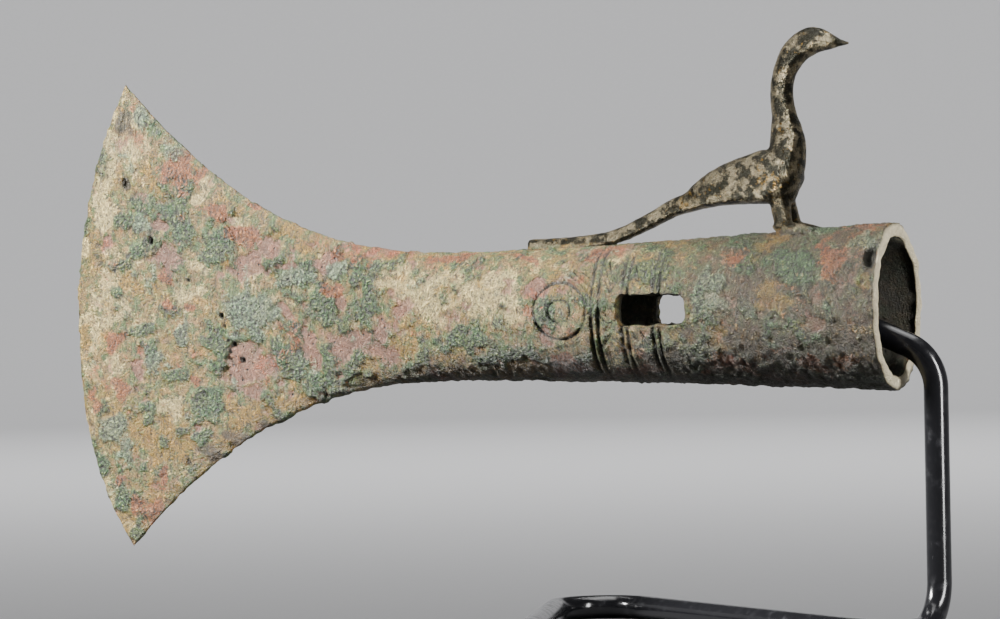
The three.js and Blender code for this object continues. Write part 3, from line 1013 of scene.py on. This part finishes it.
BEAD_SIZE = 0.85
PORE_GAP = 1.9
UPRIGHT_STRETCH = (1.0, 1.0, 0.42)
BRONZE_BUMP = 4.2
LACQUER_BUMP = 0.05
FLOOR_BUMP = 0.1
# Painted highlight: how much the colour is brightened on the tops of the grains.
CREST_HIGHLIGHT_GAIN = (3.0, 2.9, 2.5, 1)
# Painted shade: near black for the inside of the pinholes.
PAINTED_PORE_SHADE = (0.012, 0.01, 0.008, 1)
DUST_COLOUR = (0.05, 0.05, 0.055, 1)
FLOOR_FLECK = (0.62, 0.62, 0.63, 1)
# The tones in the order they are laid on, and how much each fades on the brown socket.
TONE_FADES = {
    "cream": 0.55, "ochre": 0.55, "teal": 0.3, "mauve": 0.55, "orange": 0.3, "slate": 0.55,
    "umber": 0.3,
}


def corroded_bronze(settings):
    s = Shader("corroded_bronze")
    place = s.place()
    broad = s.noise(place, 9.0, 4.0)
    patchy = s.noise(place, 2.6, 5.0, 0.66)
    fleck = s.noise(place, 1.0, 4.0, 0.62)
    grain = s.noise(place, 0.5, 3.0, 0.6)
    beads = 1 - s.cells(place, BEAD_SIZE)
    pin = s.cells(place, PORE_GAP)
    upright = s.noise(s.stretched(place, UPRIGHT_STRETCH), 0.7, 3.0, 0.6)
    brown, bird = s.attribute("brown"), s.attribute("bird")
    crust, lift, inner = s.attribute("crust"), s.attribute("lift"), s.attribute("inner")
    ragged = (fleck - 0.5) * 0.7 + (grain - 0.5) * 0.4

    def hue(name):
        return (*getattr(settings, name), 1)

    def cover(tone):
        return (s.attribute(tone) + ragged).rise(0.36, 0.64)

    pale = s.mix(patchy.rise(0.40, 0.60), hue("sage"), hue("sand"))
    pale = s.mix(broad.rise(0.5, 0.66) * 0.5, pale, hue("ochre"))
    dark = s.mix(patchy.rise(0.38, 0.62), hue("olive"), hue("umber"))
    colour = s.mix(brown, pale, dark)
    for tone, fade in TONE_FADES.items():
        colour = s.mix(cover(tone) * (1 - brown * fade) * 0.8, colour, hue(tone))
    hilly = grain * 0.34 + fleck * 0.3 + upright * 0.36 + beads * crust * 0.22 - crust * 0.11
    veins = (fleck - 0.5).size().rise(0.0, 0.045)
    smooth = cover("mauve") * 0.6
    # Painted shade: the low places between the grains are darkened toward the shade colour.
    gaps = (1 - hilly.rise(0.40, 0.52)) * (crust * 0.15 + 0.8) * (1 - smooth)
    colour = s.mix(gaps, colour, hue("dark_tone_and_painted_shade"))
    # Painted shade: thin crack lines in the crust are darkened toward the shade colour.
    colour = s.mix((1 - veins) * (0.3 + crust * 0.4), colour, hue("dark_tone_and_painted_shade"))
    # Painted highlight: the tops of the grains are brightened toward the crest colour, as a raking light
    # would light them.
    crest_highlight_colour = s.mix(0.3, s.mix(1.0, colour, CREST_HIGHLIGHT_GAIN, "MULTIPLY"), hue("painted_crest_highlight"))
    crests = hilly.rise(0.55, 0.68) * (1 - smooth * 0.7)
    colour = s.mix(crests * (0.85 - brown * 0.35), colour, crest_highlight_colour)
    # Painted shade on the undersides of the neck and socket.
    colour = s.mix(s.attribute("underside_shade") * 0.75, colour, hue("dark_tone_and_painted_shade"))
    bird_tone = s.mix(patchy.rise(0.40, 0.56), hue("metal"), hue("dark_tone_and_painted_shade"))
    bird_tone = s.mix((fleck + broad * 0.5).rise(0.84, 0.96) * 0.35, bird_tone, hue("ochre"))
    colour = s.mix(bird, colour, bird_tone)
    # Partly the rim's own pale colour, partly a painted highlight where the rim faces the right-hand light.
    colour = s.mix((s.attribute("rim") * (fleck * 0.6 + 0.65)).clamp(), colour, hue("bone"))
    # Painted shade: pits, cracks and incised ornament lines are darkened by their depth.
    colour = s.mix((0 - lift).rise(0.12, 0.7) * 0.85, colour, hue("dark_tone_and_painted_shade"))
    # Painted shade: the inside of the hollow socket is painted nearly black.
    colour = s.mix(inner * 0.9, colour, hue("dark_tone_and_painted_shade"))
    # Painted shade: pinholes in the crust are painted nearly black.
    holes = (1 - pin.rise(0.10, 0.2)) * s.attribute("pores").rise(0.3, 0.8)
    colour = s.mix(holes, colour, PAINTED_PORE_SHADE)
    rough = (0.58 - hilly.rise(0.45, 0.75) * 0.24 + inner * 0.2 - bird * 0.2).clamp()
    metal = (bird * 0.8 + brown * 0.2 + 0.03).clamp()
    height = hilly * (1 - smooth * 0.8) * (crust * 0.6 + 0.9) + veins * 0.12 - holes * 0.6
    return s.surface(height, 1.0, BRONZE_BUMP, Base_Color=colour, Roughness=rough, Metallic=metal)


def black_lacquer(settings):
    s = Shader("black_lacquer")
    place = s.place()
    dust = s.noise(place, 2.5, 4.0)
    colour = s.mix(dust.rise(0.55, 0.8) * 0.3, (*settings.lacquer, 1), DUST_COLOUR)
    ripple = s.noise(place, 1.2, 2.0)
    rough = dust.rise(0.4, 0.8) * 0.12 + 0.16
    return s.surface(ripple, 0.05, LACQUER_BUMP, Base_Color=colour, Roughness=rough)


def pale_floor(settings):
    s = Shader("pale_floor")
    grain = s.noise(s.place(), 3.0, 3.0)
    colour = s.mix(grain.rise(0.3, 0.7) * 0.15, (*settings.floor, 1), FLOOR_FLECK)
    return s.surface(grain, 0.02, FLOOR_BUMP, Base_Color=colour, Roughness=0.75)


# ---- Settings and operators ----


def colour_setting(name, description, default):
    return FloatVectorProperty(
        name=name, description=description, default=default, subtype="COLOR", min=0, max=1
    )


def size_setting(name, description, default, most, unit="LENGTH"):
    return FloatProperty(
        name=name, description=description, default=default, min=0, max=most, precision=5, unit=unit
    )


class CastingSettings(bpy.types.PropertyGroup):
    """Sizes and colours of the axe casting."""

    crust_height: size_setting("Crust height", "How far the corrosion stands up", 0.0006, 0.0012)
    ornament_depth: size_setting("Ornament depth", "Depth of the incised lines", 0.00075, 0.0015)
    sage: colour_setting("Sage", "Grey-green patina of the blade", (0.105, 0.15, 0.04))
    sand: colour_setting("Sand", "Pale warm patina of the blade", (0.28, 0.17, 0.05))
    cream: colour_setting("Cream", "Palest bloom, on the edge, the neck and the rim", (0.54, 0.42, 0.17))
    # Partly the pale rim's own colour, partly a painted highlight on the rim.
    bone: colour_setting("Bone", "Bare pale rim of the socket's mouth", (0.8, 0.7, 0.48))
    teal: colour_setting("Teal", "Green granular crust", (0.035, 0.11, 0.038))
    mauve: colour_setting("Mauve", "Smooth reddish skin between the crusts", (0.19, 0.07, 0.05))
    ochre: colour_setting("Ochre", "Yellow-brown earthy patches", (0.28, 0.15, 0.01))
    orange: colour_setting("Orange", "Rust-coloured patches", (0.25, 0.06, 0.015))
    slate: colour_setting("Slate", "Blue-grey bloom", (0.14, 0.21, 0.12))
    umber: colour_setting("Umber", "Dark brown skin of the socket", (0.05, 0.028, 0.012))
    olive: colour_setting("Olive", "Dark green skin of the socket", (0.06, 0.062, 0.024))
    # Painted shade: this colour darkens the gaps between grains, the crack lines, the pits and grooves, the
    # undersides and the inside of the hollow socket; on the bird it is also a real dark tone in the
    # mottling.
    dark_tone_and_painted_shade: colour_setting("Shade", "Dirt in pits and gaps", (0.016, 0.015, 0.009))
    # Painted highlight on the tops of the grains.
    painted_crest_highlight: colour_setting("Crest", "Worn tops of the grains", (0.6, 0.5, 0.26))
    metal: colour_setting("Metal", "Bare dark metal of the bird", (0.16, 0.135, 0.085))


class StandSettings(bpy.types.PropertyGroup):
    """Size and colour of the stand."""

    rod_radius: size_setting("Rod radius", "Half the thickness of the rod", 0.003, 0.0035)
    lacquer: colour_setting("Lacquer", "Black lacquer on the rod", (0.006, 0.006, 0.007))


class StageSettings(bpy.types.PropertyGroup):
    """Floor and light."""

    key_power: size_setting("Key power", "Power of the light at the left", 25.0, 200.0, "POWER")
    side_power: size_setting("Side power", "Power of the strip at the right", 10.0, 200.0, "POWER")
    floor: colour_setting("Floor", "Pale floor", (0.7, 0.7, 0.71))


class AXE_OT_casting(bpy.types.Operator):
    """Makes the axe with its bird, hollow socket and peg hole"""

    bl_idname = "axe_head.casting"
    bl_label = "Axe casting"

    def execute(self, context):
        settings = context.scene.axe_casting
        piece = make_casting_mesh(settings)
        finish_piece(piece, corroded_bronze(settings), "axe_head")
        return {"FINISHED"}


class AXE_OT_stand(bpy.types.Operator):
    """Makes the bent rod that holds the axe up"""

    bl_idname = "axe_head.stand"
    bl_label = "Rod stand"

    def execute(self, context):
        settings = context.scene.axe_stand
        piece = make_rod_mesh(settings)
        finish_piece(piece, black_lacquer(settings), "display_stand")
        return {"FINISHED"}


STAGE_FLAT = 2.2
STAGE_EDGE = 3.0
STAGE_SIDES = 128
CAMERA = {
    "azimuth": math.radians(24.0), "distance": 1.1, "lens": 158.4, "roll": math.radians(1.05),
}
CAMERA_BACK = Vector((math.sin(CAMERA["azimuth"]), -math.cos(CAMERA["azimuth"]), 0))
WORLD_COLOUR = (0.82, 0.84, 0.88, 1)
WORLD_STRENGTH = 0.06
KEY_FROM = Vector((-0.44, -0.27, 0.29))
KEY_SIZE = (0.12, 0.24)
SIDE_FROM = Vector((0.6, -0.16, 0.1))
SIDE_SIZE = (0.12, 0.6)
TOP_FROM = Vector((0.0, 0.25, 0.8))
TOP_SIZE = (0.6, 0.5)
TOP_POWER = 3
BACKDROP = {"behind": 0.9, "up": 1.3, "aim": 2.6, "size": (1.6, 0.5), "power": 34}
FLOOR_LIGHT = {"up": 1.5, "size": (1.0, 1.0), "power": 10}


def area_light(name, place, target, size, power, receivers=None):
    """A soft light. It falls on the receivers alone where they are given."""
    data = bpy.data.lights.new(name, "AREA")
    data.shape = "RECTANGLE"
    data.size, data.size_y = size
    data.energy = power
    light = bpy.data.objects.new(name, data)
    light.location = place
    light.light_linking.receiver_collection = receivers
    light.rotation_euler = (Vector(target) - Vector(place)).to_track_quat("-Z", "Y").to_euler()
    bpy.context.collection.objects.link(light)


def make_floor(settings):
    rings = []
    turn = turns(STAGE_SIDES)
    flat = [0.02, 0.3, 0.7, 1.2, 1.7, STAGE_FLAT - 0.05]
    sweep = [(math.sin(a), 1 - math.cos(a)) for a in np.linspace(0, math.pi / 2, 40)]
    profile = [(radius, 0.0) for radius in flat]
    profile += [(STAGE_FLAT + out * (STAGE_EDGE - STAGE_FLAT), up) for out, up in sweep]
    for radius, z in profile:
        level = np.full(STAGE_SIDES, z)
        rings.append(np.column_stack([radius * np.cos(turn), radius * np.sin(turn), level]))
    floor = link("floor", skin_mesh("floor", rings, (True, False)))
    dress(floor.data, pale_floor(settings))


def make_camera():
    roll = CAMERA["roll"]
    back = CAMERA_BACK
    up = Vector((0, 0, 1))
    right = up.cross(back)
    across = right * math.cos(roll) - up * math.sin(roll)
    upward = right * math.sin(roll) + up * math.cos(roll)
    data = bpy.data.cameras.new("camera")
    data.lens = CAMERA["lens"]
    data.clip_start = 0.05
    camera = bpy.data.objects.new("camera", data)
    turned = Matrix((across, upward, back)).transposed().to_4x4()
    camera.matrix_world = Matrix.Translation(ORIGIN + back * CAMERA["distance"]) @ turned
    bpy.context.collection.objects.link(camera)
    bpy.context.scene.camera = camera


class AXE_OT_stage(bpy.types.Operator):
    """Makes the floor, the lights and the camera"""

    bl_idname = "axe_head.stage"
    bl_label = "Stage"

    def execute(self, context):
        settings = context.scene.axe_stage
        make_floor(settings)
        make_camera()
        world = bpy.data.worlds.new("studio")
        world.use_nodes = True
        background = world.node_tree.nodes["Background"]
        background.inputs["Color"].default_value = WORLD_COLOUR
        background.inputs["Strength"].default_value = WORLD_STRENGTH
        context.scene.world = world
        shown = bpy.data.collections.new("axe_and_stand")
        for name in ("axe_casting", "stand_rod"):
            shown.objects.link(bpy.data.objects[name])
        for name, away, size, power in (
            ("left_softbox", KEY_FROM, KEY_SIZE, settings.key_power),
            ("right_softbox", SIDE_FROM, SIDE_SIZE, settings.side_power),
            ("top_softbox", TOP_FROM, TOP_SIZE, TOP_POWER),
        ):
            area_light(name, ORIGIN + away, ORIGIN, size, power, shown)
        high = ORIGIN - CAMERA_BACK * BACKDROP["behind"] + Vector((0, 0, BACKDROP["up"]))
        aim = ORIGIN - CAMERA_BACK * BACKDROP["aim"]
        area_light("backdrop_light", high, aim, BACKDROP["size"], BACKDROP["power"])
        above = ORIGIN + Vector((0, 0, FLOOR_LIGHT["up"]))
        area_light("floor_light", above, ORIGIN, FLOOR_LIGHT["size"], FLOOR_LIGHT["power"])
        return {"FINISHED"}


class AXE_PT_panel(bpy.types.Panel):
    """Lists the pieces that this add-on makes"""

    bl_label = "Axe head"
    bl_idname = "AXE_PT_panel"
    bl_space_type = "VIEW_3D"
    bl_region_type = "UI"
    bl_category = "Axe head"

    def draw(self, context):
        for operator in OPERATORS:
            self.layout.operator(operator.bl_idname)
        for group in SETTINGS:
            settings = getattr(context.scene, group)
            for key in settings.__annotations__:
                self.layout.prop(settings, key)


OPERATORS = (AXE_OT_casting, AXE_OT_stand, AXE_OT_stage)
SETTINGS = {"axe_casting": CastingSettings, "axe_stand": StandSettings, "axe_stage": StageSettings}


def register():
    for cls in (*SETTINGS.values(), *OPERATORS, AXE_PT_panel):
        bpy.utils.register_class(cls)
    for name, group in SETTINGS.items():
        setattr(bpy.types.Scene, name, PointerProperty(type=group))


def unregister():
    for name in SETTINGS:
        delattr(bpy.types.Scene, name)
    for cls in reversed((*SETTINGS.values(), *OPERATORS, AXE_PT_panel)):
        bpy.utils.unregister_class(cls)


def main():
    register()
    bpy.ops.axe_head.casting()
    bpy.ops.axe_head.stand()
    bpy.ops.axe_head.stage()


if __name__ == "__main__":
    main()
